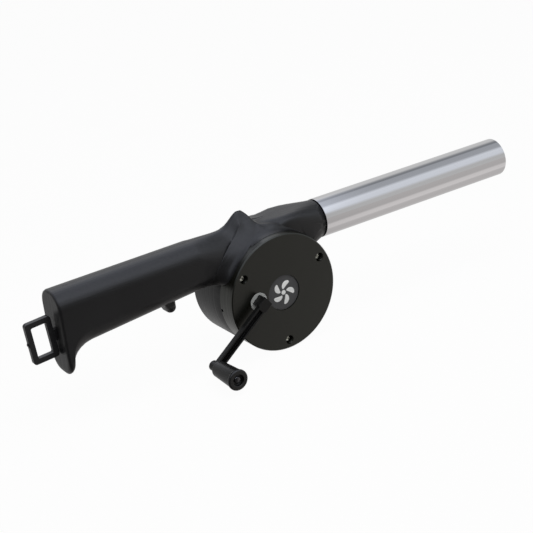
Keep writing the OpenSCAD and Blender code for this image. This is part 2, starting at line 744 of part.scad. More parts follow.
// Involute tooth form, as half the tooth's angle at a radius
function roll(a) = tan(a) - a * PI / 180;
function half_angle(teeth, r) = let (pitch = gear_module * teeth / 2, base = pitch * cos(pressure_angle))
    90 / teeth - backlash / (4 * pitch) * 180 / PI
        + (roll(pressure_angle) - roll(acos(min(1, base / r)))) * 180 / PI;
module gear_slab(teeth, tooth_at, y0, y1, x, z) {
    pitch = gear_module * teeth / 2;
    base = pitch * cos(pressure_angle);
    tip = pitch + gear_add;
    root = pitch - gear_ded;
    low = max(base, root);
    radii = concat(root < base ? [root] : [], [for (i = [0 : flank_steps]) lerp(low, tip, i / flank_steps)]);
    angles = [for (r = radii) half_angle(teeth, max(r, base))];
    n = len(radii);
    outline = [for (k = [0 : teeth - 1]) let (mid_a = tooth_at + 360 * k / teeth)
        each concat(
            [for (i = [0 : n - 1]) radii[i] * [cos(mid_a - angles[i]), sin(mid_a - angles[i])]],
            [for (i = [n - 1 : -1 : 0]) radii[i] * [cos(mid_a + angles[i]), sin(mid_a + angles[i])]]
        )];
    translate([x, 0, z]) slab(y0, y1) polygon(outline);
}

// A tooth of the first gear meets a gap of the second on the line between their axes
function mesh_angle(tooth_1, teeth_1, teeth_2, line) =
    line + 180 - (0.5 - (line - tooth_1) * teeth_1 / 360) * 360 / teeth_2;
line_1 = atan2(idler_z, idler_x - crank_x);
line_2 = atan2(-idler_z, -idler_x);
crank_tooth = 0;
idler_small_tooth = mesh_angle(crank_tooth, crank_teeth, pinion_teeth, line_1);
idler_big_tooth = 0;
pinion_tooth = mesh_angle(idler_big_tooth, idler_teeth, pinion_teeth, line_2);

module crank_gear() color([0.6, 0.62, 0.63]) difference() {
    union() {
        gear_slab(crank_teeth, crank_tooth, gear_y, gear_y + gear_w, crank_x, 0);
        disc(hub_r, face_y, gear_y + gear_w / 2, crank_x, 0);
        disc(rear_hub_r, gear_y + gear_w / 2, cover_end - boss_step - free_gap, crank_x, 0);
        translate([crank_x, 0, 0]) rotate([0, -crank_angle, 0])
            translate([-peg_side / 2, face_y - peg_out, -peg_side / 2])
                cube([peg_side, peg_out + boss_step, peg_side]);
    }
    for (y = [gear_y - cut, gear_y + gear_w - web_sink]) difference() {
        disc(crank_pitch - 3 * gear_module, y, y + web_sink + cut, crank_x, 0);
        disc(hub_r + wall, y - cut, y + web_sink + 2 * cut, crank_x, 0);
    }
    disc(crank_axle_r + run_gap, face_y + cover_face, cover_end, crank_x, 0);
}

module crank_axle() color(steel)
    disc(crank_axle_r, face_y + cover_face + free_gap, axle_end - seat_gap, crank_x, 0);

// The arm lies along +X here and is turned to the crank's angle
module crank_arm() color([0.1, 0.1, 0.1])
    translate([crank_x, face_y, 0]) rotate([0, -crank_angle, 0]) difference() {
        union() {
            translate([-head_side / 2, -head_out, -head_side / 2])
                cube([head_side, head_out - head_gap, head_side]);
            translate([0, -head_out, -arm_w / 2]) cube([crank_len, arm_t, arm_w]);
            disc(boss_r, -head_out, boss_in - arm_standoff, crank_len, 0);
        }
        translate([head_side / 2 + arm_wall, -head_out - cut, arm_wall - arm_w / 2])
            cube([crank_len - boss_r - head_side / 2 - arm_wall, cut + arm_t - arm_wall, arm_w - 2 * arm_wall]);
        translate([-peg_side / 2 - run_gap, -peg_out - free_gap, -peg_side / 2 - run_gap])
            cube([peg_side + 2 * run_gap, peg_out + cut, peg_side + 2 * run_gap]);
        disc(knob_pin_r + seat_gap, -head_out - cut, -head_out + pin_sink, crank_len, 0);
    }

module at_knob() {
    translate([crank_x + crank_len * cos(crank_angle), face_y, crank_len * sin(crank_angle)]) children();
}

// Profiles of the turned pieces run along the knob's axis, away from the arm
module knob_grip() color([0.09, 0.09, 0.09]) at_knob() rotate([90, 0, 0]) rotate_extrude()
    polygon([
        [knob_pin_r + run_gap, knob_start],
        [knob_root_r - rim_bevel, knob_start],
        [knob_root_r, knob_start + rim_bevel],
        [knob_body_r, knob_start + knob_len - knob_lip_l - rim_bevel],
        [knob_lip_r, knob_start + knob_len - knob_lip_l],
        [knob_lip_r, knob_start + knob_len - rim_bevel],
        [knob_lip_r - rim_bevel, knob_start + knob_len],
        [knob_recess_r, knob_start + knob_len],
        [knob_recess_r, knob_start + knob_len - knob_recess],
        [knob_pin_r + run_gap, knob_start + knob_len - knob_recess]
    ]);
module knob_pin() color([0.12, 0.12, 0.12]) at_knob() rotate([90, 0, 0]) rotate_extrude()
    polygon([
        [0, head_out - pin_sink + free_gap],
        [knob_pin_r, head_out - pin_sink + free_gap],
        [knob_pin_r, knob_start + knob_len - knob_recess + free_gap],
        [pin_head_r, knob_start + knob_len - knob_recess + free_gap],
        [pin_head_r, knob_start + knob_len - knob_recess + pin_head_h * 0.6],
        [pin_head_r * 0.8, knob_start + knob_len - knob_recess + pin_head_h * 0.9],
        [pin_head_r * 0.4, knob_start + knob_len - knob_recess + pin_head_h * 1.08],
        [0, knob_start + knob_len - knob_recess + pin_head_h * 1.12]
    ]);

module idler_gear() color([0.85, 0.84, 0.8]) difference() {
    union() {
        gear_slab(pinion_teeth, idler_small_tooth, gear_y, gear2_y, idler_x, idler_z);
        gear_slab(idler_teeth, idler_big_tooth, gear2_y, gear2_y + gear_w, idler_x, idler_z);
    }
    disc(axle_r + run_gap, gear_y - cut, cover_end, idler_x, idler_z);
}
module idler_axle() color(steel)
    disc(axle_r, face_y + cover_face / 2 + seat_gap, axle_end - seat_gap, idler_x, idler_z);

module fan_pinion() color([0.8, 0.66, 0.32]) difference() {
    gear_slab(pinion_teeth, pinion_tooth, gear2_y - free_gap / 2, pinion_end, 0, 0);
    disc(shaft_r + seat_gap, gear2_y - cut, pinion_end + cut);
}
module fan_shaft() color(steel) disc(shaft_r, shaft_front, shaft_end);

// Centrifugal wheel: back disc, hub, curved blades and a stiffening ring
module impeller() color([0.2, 0.2, 0.21]) difference() {
    union() {
        disc(fan_r, fan_y, fan_y + fan_disc_t);
        disc(fan_hub_r, fan_y, fan_y + fan_hub_l);
        for (i = [0 : blade_count - 1]) rotate([0, 360 * i / blade_count, 0]) blade();
        difference() {
            disc(fan_r, fan_y + fan_w - fan_ring_t, fan_y + fan_w);
            disc(fan_r - fan_ring_w, fan_y + fan_w - fan_ring_t - cut, fan_y + fan_w + cut);
        }
    }
    disc(shaft_r + seat_gap, fan_y - cut, fan_y + fan_w + cut);
}
function blade_angle(r) =
    acos((r * r - pow(blade_centre_r, 2) - pow(blade_curve_r, 2)) / (2 * blade_centre_r * blade_curve_r));
module blade() {
    outer = blade_angle(fan_r - blade_t);
    translate([blade_centre_r, fan_y + fan_w - fan_ring_t / 2, 0]) rotate([90, 0, 0])
        rotate([0, 0, outer]) rotate_extrude(angle = blade_angle(blade_in_r) - outer)
            translate([blade_curve_r - blade_t / 2, 0])
                square([blade_t, fan_w - fan_ring_t / 2 - fan_disc_t / 2]);
}

module retaining_ring() color(steel) difference() {
    disc(ring_r, fan_y + fan_hub_l + seat_gap, fan_y + fan_hub_l + ring_t);
    disc(shaft_r + seat_gap, fan_y, fan_y + fan_hub_l + cut);
}
module thrust_washers() color(steel) for (y = [bush_back + free_gap, rear_bush_y - free_gap - washer_t])
    difference() {
        disc(washer_r, y, y + washer_t);
        disc(shaft_r + run_gap, y - cut, y + washer_t + cut);
    }
module front_bush() color([0.78, 0.6, 0.3]) difference() {
    union() {
        disc(bush_r, bush_front, bush_back);
        disc(flange_r, chamber_y + seat_gap, bush_back);
    }
    disc(shaft_r + run_gap, bush_front - cut, bush_back + cut);
}
module rear_bush() color([0.78, 0.6, 0.3]) difference() {
    disc(bush_r, rear_bush_y, rear_bush_y + rear_bush_l - seat_gap);
    disc(shaft_r + run_gap, rear_bush_y - cut, rear_bush_y + rear_bush_l + cut);
}

near_shell();
far_shell();
gear_cover();
badge_disc();
cover_screws();
shell_screws();
blow_pipe();
hang_loop();
crank_gear();
crank_arm();
knob_pin();
knob_grip();
crank_axle();
idler_gear();
idler_axle();
fan_pinion();
fan_shaft();
impeller();
retaining_ring();
thrust_washers();
front_bush();
rear_bush();
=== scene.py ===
"""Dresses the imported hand-cranked barbecue blower: moulded shells, steel blow pipe, crank and knob."""

import math

import bmesh
import bpy
from mathutils import Matrix, Vector


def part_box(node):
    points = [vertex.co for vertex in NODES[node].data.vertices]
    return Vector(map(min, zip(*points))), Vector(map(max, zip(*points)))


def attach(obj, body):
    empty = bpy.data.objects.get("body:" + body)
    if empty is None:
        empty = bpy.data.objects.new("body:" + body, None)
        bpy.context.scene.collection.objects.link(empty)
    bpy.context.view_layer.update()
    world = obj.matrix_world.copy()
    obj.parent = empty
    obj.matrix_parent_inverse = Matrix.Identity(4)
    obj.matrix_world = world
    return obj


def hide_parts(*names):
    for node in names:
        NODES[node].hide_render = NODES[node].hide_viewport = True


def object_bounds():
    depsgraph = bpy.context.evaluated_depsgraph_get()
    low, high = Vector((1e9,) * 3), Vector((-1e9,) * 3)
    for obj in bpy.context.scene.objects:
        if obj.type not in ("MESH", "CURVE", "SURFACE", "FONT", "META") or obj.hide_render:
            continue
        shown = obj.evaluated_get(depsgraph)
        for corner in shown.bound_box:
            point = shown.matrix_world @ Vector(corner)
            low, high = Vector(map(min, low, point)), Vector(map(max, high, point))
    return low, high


bl_info = {
    "name": "Hand-cranked barbecue blower",
    "version": (1, 0, 0),
    "blender": (4, 5, 0),
    "location": "3D View > Sidebar > Blower",
    "description": "Dresses the blower's packed parts: shells, cover, badge, pipe, loop, crank and knob",
    "category": "Object",
}

MM = 0.001
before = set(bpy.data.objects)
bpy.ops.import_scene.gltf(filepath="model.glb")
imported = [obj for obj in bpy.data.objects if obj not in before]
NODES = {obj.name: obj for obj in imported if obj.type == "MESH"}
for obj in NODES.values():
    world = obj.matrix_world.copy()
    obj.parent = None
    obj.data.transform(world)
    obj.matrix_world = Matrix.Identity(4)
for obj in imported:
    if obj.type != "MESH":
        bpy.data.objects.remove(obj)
CAD_BOX = [list(corner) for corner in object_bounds()]


# ---------------------------------------------------------------- settings


class BodySettings(bpy.types.PropertyGroup):
    """Black moulded plastic of the shells and the gear cover, and the sign printed on the badge."""

    shell_colour: bpy.props.FloatVectorProperty(
        name="Shell colour", description="Colour of the shells",
        subtype="COLOR", size=3, default=(0.0070, 0.0070, 0.0076))
    cover_colour: bpy.props.FloatVectorProperty(
        name="Cover colour", description="Colour of the gear cover",
        subtype="COLOR", size=3, default=(0.0036, 0.0036, 0.0024))
    shell_roughness: bpy.props.FloatProperty(
        name="Shell roughness", description="How satin the shells are",
        default=0.37, min=0, max=1)
    drag_depth: bpy.props.FloatProperty(
        name="Drag lines", description="Depth of the faint lines that the mould leaves",
        unit="LENGTH", default=0.45 * MM)
    sign_size: bpy.props.FloatProperty(
        name="Fan sign", description="Width of the printed fan sign on the badge",
        unit="LENGTH", default=20 * MM)


class PipeSettings(bpy.types.PropertyGroup):
    """Polished steel blow pipe."""

    steel_colour: bpy.props.FloatVectorProperty(
        name="Steel colour", description="Colour of the pipe",
        subtype="COLOR", size=3, default=(0.80, 0.80, 0.81))
    polish: bpy.props.FloatProperty(
        name="Roughness", description="Roughness of the polished steel",
        default=0.06, min=0, max=1)


class CrankSettings(bpy.types.PropertyGroup):
    """Crank arm, its hub and the knob."""

    arm_colour: bpy.props.FloatVectorProperty(
        name="Arm colour", description="Colour of the crank arm and knob",
        subtype="COLOR", size=3, default=(0.0046, 0.0046, 0.0044))
    hub_colour: bpy.props.FloatVectorProperty(
        name="Hub colour", description="Colour of the crank gear and its grey plastic hub",
        subtype="COLOR", size=3, default=(0.44, 0.45, 0.44))
    arm_round: bpy.props.FloatProperty(
        name="Arm rounding", description="Rounding of the arm's edges",
        unit="LENGTH", default=0.45 * MM)


class StageSettings(bpy.types.PropertyGroup):
    """Lamps and camera."""

    lens: bpy.props.FloatProperty(
        name="Lens", description="Focal length of the camera in millimetres",
        default=93.03, min=20, max=300)
    ambient: bpy.props.FloatProperty(
        name="Ambient light", description="Strength of the even light from all round",
        default=0.22, min=0, max=2)
    key_power: bpy.props.FloatProperty(
        name="Key lamp", description="Power of the large lamp overhead in watts",
        default=15.0, min=0, max=400)
    fill_power: bpy.props.FloatProperty(
        name="Fill lamp", description="Power of the lamp on the left in watts",
        default=2.0, min=0, max=400)


# ---------------------------------------------------------------- shader parts


BLOTCH_SHADE = 0.14  # how far the blotches swing a plastic's colour
BAND_SCALE = 0.12  # scale of the broad bands, as a share of the lines' scale


def sockets(group, rows):
    """Gives a node group its inputs and outputs."""
    for name, way, kind, value in rows:
        made = group.interface.new_socket(name=name, in_out=way, socket_type=kind)
        if value is not None:
            made.default_value = value


def wire(tree, source, target):
    """Links an output to an input, or puts a plain value on the input."""
    if isinstance(source, bpy.types.NodeSocket):
        tree.links.new(source, target)
    else:
        target.default_value = source


def add(tree, kind, **values):
    """A new node; each value goes on the property or else the input socket of its name."""
    made = tree.nodes.new(kind)
    for key, value in values.items():
        if hasattr(made, key):
            setattr(made, key, value)
        else:
            made.inputs[key.replace("_", " ")].default_value = value
    return made


def maths(tree, operation, *sources):
    """The result of one operation on values that are sockets or numbers."""
    made = add(tree, "ShaderNodeMath", operation=operation)
    for source, target in zip(sources, made.inputs):
        wire(tree, source, target)
    return made.outputs[0]


def ranged(tree, source, low, high, to_low, to_high, smooth=True):
    """Maps one value from a range to another, with soft ends or in a straight line."""
    made = add(tree, "ShaderNodeMapRange", interpolation_type="SMOOTHSTEP" if smooth else "LINEAR")
    wire(tree, source, made.inputs["Value"])
    for name, value in (("From Min", low), ("From Max", high), ("To Min", to_low), ("To Max", to_high)):
        made.inputs[name].default_value = value
    return made.outputs[0]


def scaled(tree, colour, factor):
    """A colour times one number."""
    made = add(tree, "ShaderNodeVectorMath", operation="SCALE")
    wire(tree, colour, made.inputs[0])
    wire(tree, factor, made.inputs["Scale"])
    return made.outputs[0]


def noise(tree, place, scale, detail, roughness):
    """Noise from 0 to 1 at a place."""
    made = add(tree, "ShaderNodeTexNoise", Detail=detail, Roughness=roughness)
    wire(tree, place, made.inputs["Vector"])
    wire(tree, scale, made.inputs["Scale"])
    return made.outputs["Fac"]


def bumped(tree, height, distance, strength, normal=None):
    """The normal of a surface that a height from 0 to 1 raises by up to a distance in metres."""
    made = add(tree, "ShaderNodeBump", Distance=distance, Strength=strength)
    wire(tree, height, made.inputs["Height"])
    if normal is not None:
        wire(tree, normal, made.inputs["Normal"])
    return made.outputs["Normal"]


def mixed(tree, share, first, second):
    """Two shaders in one, where the share is that of the second."""
    made = add(tree, "ShaderNodeMixShader")
    for source, target in zip((share, first, second), made.inputs):
        wire(tree, source, target)
    return made.outputs[0]


def mould_grain():
    """Fine spark-eroded grain with soft blotches, as moulded plastic has."""
    group = bpy.data.node_groups.get("Mould grain")
    if group:
        return group
    group = bpy.data.node_groups.new("Mould grain", "ShaderNodeTree")
    sockets(group, [
        ("Colour", "INPUT", "NodeSocketColor", (0.02, 0.02, 0.02, 1)),
        ("Roughness", "INPUT", "NodeSocketFloat", 0.4),
        ("Grain", "INPUT", "NodeSocketFloat", 1800.0),
        ("Blotch", "INPUT", "NodeSocketFloat", 28.0),
        ("Variation", "INPUT", "NodeSocketFloat", 0.12),
        ("Colour", "OUTPUT", "NodeSocketColor", None),
        ("Roughness", "OUTPUT", "NodeSocketFloat", None),
        ("Height", "OUTPUT", "NodeSocketFloat", None),
    ])
    given, result = add(group, "NodeGroupInput").outputs, add(group, "NodeGroupOutput").inputs
    place = add(group, "ShaderNodeTexCoord").outputs["Object"]
    grain = noise(group, place, given["Grain"], detail=3.0, roughness=0.6)
    blotches = noise(group, place, given["Blotch"], detail=4.0, roughness=0.55)
    swing = maths(group, "MULTIPLY", maths(group, "SUBTRACT", blotches, 0.5), given["Variation"])
    shade = ranged(group, blotches, 0.25, 0.75, 1 - BLOTCH_SHADE, 1 + BLOTCH_SHADE, smooth=False)
    wire(group, scaled(group, given["Colour"], shade), result["Colour"])
    wire(group, maths(group, "ADD", swing, given["Roughness"]), result["Roughness"])
    wire(group, grain, result["Height"])
    return group


def drawn_lines():
    """Lines drawn out along one axis, as polishing or a mould's drag leaves them."""
    group = bpy.data.node_groups.get("Drawn lines")
    if group:
        return group
    group = bpy.data.node_groups.new("Drawn lines", "ShaderNodeTree")
    sockets(group, [
        ("Stretch", "INPUT", "NodeSocketVector", (0.01, 1.0, 1.0)),
        ("Scale", "INPUT", "NodeSocketFloat", 900.0),
        ("Lines", "OUTPUT", "NodeSocketFloat", None),
        ("Bands", "OUTPUT", "NodeSocketFloat", None),
    ])
    given, result = add(group, "NodeGroupInput").outputs, add(group, "NodeGroupOutput").inputs
    drawn = add(group, "ShaderNodeVectorMath", operation="MULTIPLY")
    wire(group, add(group, "ShaderNodeTexCoord").outputs["Object"], drawn.inputs[0])
    wire(group, given["Stretch"], drawn.inputs[1])
    lines = noise(group, drawn.outputs[0], given["Scale"], detail=4.0, roughness=0.65)
    broad = maths(group, "MULTIPLY", given["Scale"], BAND_SCALE)
    bands = noise(group, drawn.outputs[0], broad, detail=2.0, roughness=0.5)
    wire(group, lines, result["Lines"])
    wire(group, bands, result["Bands"])
    return group


# ---------------------------------------------------------------- finishes


GRAIN_RELIEF, GRAIN_STRENGTH = 0.02 * MM, 0.35
DRAG_STRETCH, DRAG_SCALE = (0.03, 1.0, 0.03), 260.0  # lines parallel to the plane where the shells meet
DRAG_BANDS, DRAG_STRENGTH = 1.6, 0.6  # weight of the bands beside the lines, and of both in the bump
NOISE_LOW, NOISE_HIGH = 0.3, 0.7  # nearly all of the noise lies between these
METAL_RELIEF, METAL_STRENGTH = 0.008 * MM, 0.4
METAL_SWING = 0.06  # how far the lines swing a metal's roughness
METAL_SHADE = 0.14  # how much the bands darken a metal
EVEN = (1.0, 1.0, 1.0)  # stretch of a metal without lines


def finish_of(name, **plain):
    """A new material with its Principled shader; plain values go on the shader's own sockets."""
    made = bpy.data.materials.new(name)
    made.use_nodes = True
    tree = made.node_tree
    shader = tree.nodes["Principled BSDF"]
    for key, value in plain.items():
        shader.inputs[key.replace("_", " ")].default_value = value
    return made, tree, shader


def plastic(name, colour, roughness, grain=1800.0, variation=0.12, drag=0.0, **plain):
    """Moulded plastic with fine grain and, where drag is given, faint lines of that depth from the mould."""
    made, tree, shader = finish_of(name, **plain)
    grained = add(tree, "ShaderNodeGroup", node_tree=mould_grain(), Colour=(*colour, 1), Roughness=roughness,
                  Grain=grain, Variation=variation)
    wire(tree, grained.outputs["Colour"], shader.inputs["Base Color"])
    wire(tree, grained.outputs["Roughness"], shader.inputs["Roughness"])
    normal = bumped(tree, grained.outputs["Height"], GRAIN_RELIEF, GRAIN_STRENGTH)
    if drag:
        lines = add(tree, "ShaderNodeGroup", node_tree=drawn_lines(), Stretch=DRAG_STRETCH, Scale=DRAG_SCALE)
        bands = maths(tree, "MULTIPLY", lines.outputs["Bands"], DRAG_BANDS)
        both = maths(tree, "ADD", bands, lines.outputs["Lines"])
        normal = bumped(tree, both, drag, DRAG_STRENGTH, normal)
    wire(tree, normal, shader.inputs["Normal"])
    return made


def metal(name, colour, roughness, stretch=(0.01, 1.0, 1.0), scale=900.0):
    """Bare metal with lines drawn along one axis."""
    made, tree, shader = finish_of(name, Metallic=1.0)
    lines = add(tree, "ShaderNodeGroup", node_tree=drawn_lines(), Stretch=stretch, Scale=scale)
    rough = ranged(tree, lines.outputs["Lines"], NOISE_LOW, NOISE_HIGH,
                   roughness - METAL_SWING / 2, roughness + METAL_SWING / 2, smooth=False)
    shade = ranged(tree, lines.outputs["Bands"], NOISE_LOW, NOISE_HIGH, 1 - METAL_SHADE, 1.0, smooth=False)
    wire(tree, rough, shader.inputs["Roughness"])
    wire(tree, scaled(tree, colour, shade), shader.inputs["Base Color"])
    wire(tree, bumped(tree, lines.outputs["Lines"], METAL_RELIEF, METAL_STRENGTH), shader.inputs["Normal"])
    return made


def gate_pit_and_painted_shade(finish, place, size):
    """The small pit that the mould's gate leaves, at one place on a piece: a bump gives it relief, and its dark
    middle without gloss is painted shade.
    """
    tree = finish.node_tree
    base, gloss, normal = (tree.nodes["Principled BSDF"].inputs[name]
                           for name in ("Base Color", "Specular IOR Level", "Normal"))
    away = add(tree, "ShaderNodeVectorMath", operation="DISTANCE")
    wire(tree, add(tree, "ShaderNodeTexCoord").outputs["Object"], away.inputs[0])
    wire(tree, place, away.inputs[1])
    rim = ranged(tree, away.outputs["Value"], 0.6 * size, size, 0.0, 1.0)
    # Painted shade: the colour and the gloss fall to nothing in the middle of the pit
    wire(tree, scaled(tree, base.links[0].from_socket, rim), base)
    wire(tree, maths(tree, "MULTIPLY", rim, gloss.default_value), gloss)
    wire(tree, bumped(tree, rim, 0.5 * size, 1.0, normal.links[0].from_socket), normal)


def floor_finish():
    """A grey floor that looks nearly white to the camera."""
    made, tree, shader = finish_of("Pale floor", Base_Color=(0.50, 0.50, 0.50, 1), Roughness=0.9,
                                   Specular_IOR_Level=0.1)
    white = add(tree, "ShaderNodeEmission", Strength=1.0)
    paths = add(tree, "ShaderNodeLightPath")
    pale = mixed(tree, FLOOR_WHITE, shader.outputs[0], white.outputs[0])
    shown = mixed(tree, paths.outputs["Is Camera Ray"], shader.outputs[0], pale)
    wire(tree, shown, tree.nodes["Material Output"].inputs["Surface"])
    return made


# ---------------------------------------------------------------- studio


WARM, PLAIN, COOL = (1.03, 0.99, 0.98), (1.0, 1.0, 1.0), (0.96, 1.0, 1.08)
# The panels round the X axis, as (from, to, brightness, tint), in degrees up from straight behind the object
STUDIO_PANELS = (
    (-180, -150, 0.50, WARM),  # floor on the viewer's side
    (-140, -120, 0.70, WARM),  # white card on the floor
    (-110, -75, 0.55, WARM),  # floor under the object
    (-25, 40, 0.65, PLAIN),  # wall behind the object
    (60, 70, 0.25, COOL),  # dark gap over that wall
    (75, 105, 0.40, COOL),  # ceiling
    (120, 145, 0.78, COOL),  # large soft box
    (160, 180, 0.55, PLAIN))  # wall behind the viewer
SOFT_BOX = (0.74, 0.79, 0.95)
AMBIENT_TINT = (0.98, 0.99, 1.0, 1)
LEFT_SHARE = 0.62  # share of the light that is left toward the grip's end
NEAR_SHARE = 0.22  # share that is left low down on the viewer's side, except toward the pipe's mouth
FLOOR_REACH, FLOOR_GAP = 6.0, 0.5 * MM  # half the floor's width, and how far it lies under the object
FLOOR_WHITE = 0.965  # share of plain white in what the camera sees of the floor
CAMERA_PLACE = (-0.5117, -0.8972, 0.4200)
CAMERA_AXES = (  # to the right, up and backwards
    (0.82881324, -0.54729316, -0.11635638),
    (0.2975068, 0.2549337, 0.92005354),
    (-0.47387585, -0.79716937, 0.37411586))


def panel_light(tree, y, z):
    """The colour of the panels in a direction, by its angle round the X axis."""
    ramp = add(tree, "ShaderNodeValToRGB")
    turn = ranged(tree, maths(tree, "ARCTAN2", z, y), -math.pi, math.pi, 0, 1, smooth=False)
    wire(tree, turn, ramp.inputs[0])
    stops = ramp.color_ramp.elements
    for start, end, brightness, tint in STUDIO_PANELS:
        for degrees in (start, end):
            at = (degrees + 180) / 360
            stop = stops[0] if degrees == -180 else (stops[-1] if degrees == 180 else stops.new(at))
            stop.position = at
            stop.color = (*(brightness * share for share in tint), 1)
    return ramp.outputs["Color"]


def studio_world(tree, ambient):
    """White to the camera, an even grey for soft light, and panels and a soft box for gloss."""
    even = tree.nodes["Background"]
    even.inputs["Color"].default_value = AMBIENT_TINT
    even.inputs["Strength"].default_value = ambient
    white = add(tree, "ShaderNodeBackground", Color=(1, 1, 1, 1), Strength=1.0)
    studio = add(tree, "ShaderNodeBackground", Strength=1.0)
    parts = add(tree, "ShaderNodeSeparateXYZ")
    wire(tree, add(tree, "ShaderNodeTexCoord").outputs["Generated"], parts.inputs[0])
    # Soft steps by direction: x runs toward the pipe's mouth, y away from the viewer and z up
    x, y, z = parts.outputs
    left = ranged(tree, x, -0.45, 0.12, LEFT_SHARE, 1.0)
    mouth = ranged(tree, x, 0.30, 0.56, NEAR_SHARE, 1.0)
    behind = ranged(tree, y, -0.15, 0.35, 0.0, 1.0)
    high = ranged(tree, z, 0.1, 0.5, 0.0, 1.0)
    bright = maths(tree, "MAXIMUM", maths(tree, "MAXIMUM", mouth, behind), high)
    panels = scaled(tree, panel_light(tree, y, z), maths(tree, "MULTIPLY", bright, left))
    over = maths(tree, "MULTIPLY", ranged(tree, z, 0.30, 0.75, 0.0, 1.0), ranged(tree, x, 0.42, 0.56, 1.0, 0.0))
    box = scaled(tree, SOFT_BOX, maths(tree, "MULTIPLY", over, left))
    both = add(tree, "ShaderNodeVectorMath", operation="ADD")
    wire(tree, panels, both.inputs[0])
    wire(tree, box, both.inputs[1])
    wire(tree, both.outputs[0], studio.inputs["Color"])
    paths = add(tree, "ShaderNodeLightPath")
    lit = mixed(tree, paths.outputs["Is Glossy Ray"], even.outputs[0], studio.outputs[0])
    shown = mixed(tree, paths.outputs["Is Camera Ray"], lit, white.outputs[0])
    wire(tree, shown, tree.nodes["World Output"].inputs["Surface"])


def area_lamp(name, place, target, size, power):
    """A rectangular lamp that faces a point and doesn't show in gloss."""
    data = bpy.data.lights.new(name, "AREA")
    data.shape, data.size, data.size_y, data.energy = "RECTANGLE", size[0], size[1], power
    lamp = bpy.data.objects.new(name, data)
    bpy.context.scene.collection.objects.link(lamp)
    lamp.location = place
    lamp.rotation_euler = (Vector(target) - Vector(place)).to_track_quat("-Z", "Y").to_euler()
    lamp.visible_glossy = False


# ---------------------------------------------------------------- mesh parts


WELD = 0.002 * MM  # points nearer than this are one
FLAT_ANGLE = math.radians(0.6)  # faces that differ less are one flat face
EDGE_ANGLE = math.radians(28.0)  # edges sharper than this are rounded

# The fairing between guard, drum and snout
FAIRING_BACK, FAIRING_FRONT, FAIRING_LOW = -60 * MM, 31 * MM, -16 * MM
SNOUT_FOOT, SNOUT_HALF = 14 * MM, 17.6 * MM  # within the snout's width the fairing ends at its foot
HAIR = 0.05 * MM  # points nearer than this to the drum or the shells' plane lie on it
FAIRING_CUTS, FAIRING_EDGE = 5, 2.0 * MM  # most rounds of cuts, and the longest edge that they leave
FAIRING_FREE = 0.4 * MM  # points nearer to the drum aren't smoothed
SMOOTH_ROUNDS, SMOOTH_FRONT = 10, 13  # the smoothing ends at this x in mm, and 1 mm sooner each round
FAIRING_SKIN = 0.16 * MM  # the fairing runs out this far over the drum
FAIRING_RISE = 6 * MM  # what stands higher over the drum stays
RIM_START, RIM_WIDTH = 16.5 * MM, 7.5 * MM  # where it runs out, from the plane between the shells

# Bows on the guard's peak in mm, as (middle, reach to the grip, reach to the drum, lift)
PEAK_BOWS = ((-21.5, 12.0, 5.5, 2.25), (-10.0, 4.0, 4.5, 1.3))
PEAK_FOOT, PEAK_RISE = 50, 7  # height in mm where the lift starts, and over which it grows

# The two long corners on the snout's top
SNOUT_START, SNOUT_END, SNOUT_REACH = 6 * MM, 53 * MM, 17.4 * MM
SNOUT_SKIN = 0.8 * MM  # points deeper than this under the pipe's surface lie inside the snout
CORNER_ANGLE, CORNER_SPREAD = 43, 20  # degrees over the level, and degrees over which the push fades
CORNER_PUSH = 1.1 * MM
CORNER_FROM, CORNER_GROW, CORNER_FADE = 14 * MM, 9 * MM, 16 * MM  # it grows from this x, and fades at the end

PART_GROOVE, PART_SLACK = 0.28 * MM, 0.02 * MM
PART_ANGLE = math.radians(55)  # edges between the shells that are sharper get the groove


def clamped(value):
    """A value held between 0 and 1."""
    return min(1.0, max(0.0, value))


def to_object(bm, name, finish, body, smooth=30.0):
    """Puts a bmesh, worked in metres in the row frame, into a new object that rides on a body."""
    mesh = bpy.data.meshes.new(name)
    bm.to_mesh(mesh)
    bm.free()
    mesh.shade_smooth()
    mesh.set_sharp_from_angle(angle=math.radians(smooth))
    made = bpy.data.objects.new(name, mesh)
    bpy.context.scene.collection.objects.link(made)
    mesh.materials.append(finish)
    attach(made, body)
    return made


def copy_of(node):
    """A bmesh of a CAD node's mesh with its loose triangles merged."""
    bm = bmesh.new()
    bm.from_mesh(NODES[node].data)
    bmesh.ops.remove_doubles(bm, verts=bm.verts, dist=WELD)
    bmesh.ops.dissolve_degenerate(bm, edges=bm.edges, dist=WELD)
    for layer in list(bm.loops.layers.uv):
        bm.loops.layers.uv.remove(layer)
    return bm


def fill_peak(bm):
    """Fills out both slopes of the guard's peak, which is a full, rounded bow from the side."""
    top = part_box("near_shell")[1][2]
    for middle, before, after, lift in PEAK_BOWS:
        for vert in bm.verts:
            away = vert.co.x / MM - middle
            share = abs(away) / (before if away < 0 else after)
            high = clamped((vert.co.z / MM - PEAK_FOOT) / PEAK_RISE)
            if share < 1 and high > 0:
                bow = math.cos(share * math.pi / 2) ** 2 * high * high * (3 - 2 * high)
                vert.co.z = min(top, vert.co.z + lift * MM * bow)


